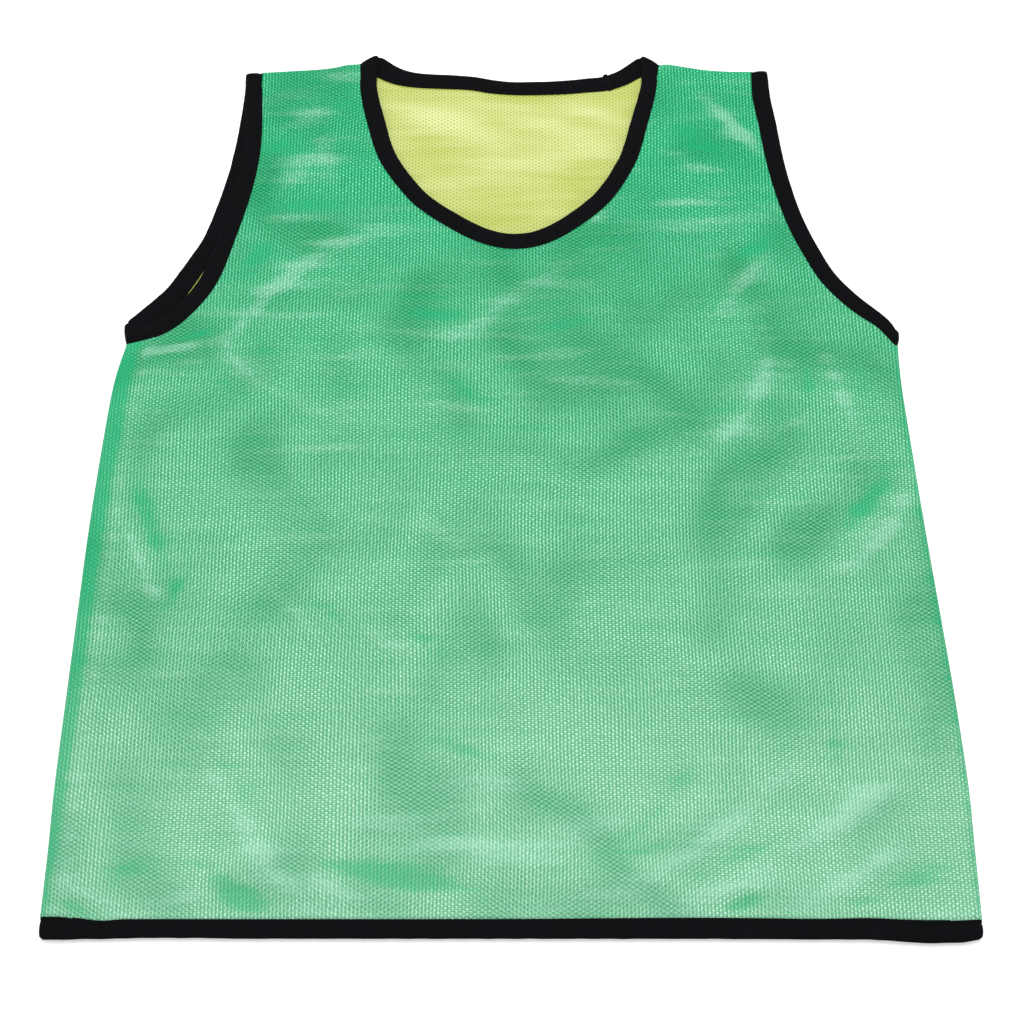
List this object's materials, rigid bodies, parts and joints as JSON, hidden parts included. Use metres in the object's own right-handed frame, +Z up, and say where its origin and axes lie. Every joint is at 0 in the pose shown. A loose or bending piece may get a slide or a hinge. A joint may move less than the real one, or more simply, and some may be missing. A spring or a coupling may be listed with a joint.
{
  "type": "reversible training bib",
  "caption": "Sleeveless reversible training bib of green and yellow mesh with black bound neck, armholes and hem, laid flat with the front up.",
  "frame": {"origin": "on the surface the bib lies on, under the middle of the bib", "axes": "+Y from the hem towards the neck, +X towards the side that is on the right when the front is seen with the neck up, +Z up out of the front"},
  "size_m": [0.598, 0.684, 0.0103],
  "materials": {
    "green_mesh": "polyester eyelet mesh with a soft sheen",
    "yellow_mesh": "polyester eyelet mesh with a soft sheen",
    "black_tape": "matte folded knit tape"
  },
  "bodies": {
    "root": {"front_outer": "green_mesh", "front_lining": "yellow_mesh", "back_outer": "green_mesh", "back_lining": "yellow_mesh", "neck_binding": "black_tape", "left_armhole_binding": "black_tape", "right_armhole_binding": "black_tape", "hem_binding": "black_tape"}
  },
  "joints": []
}
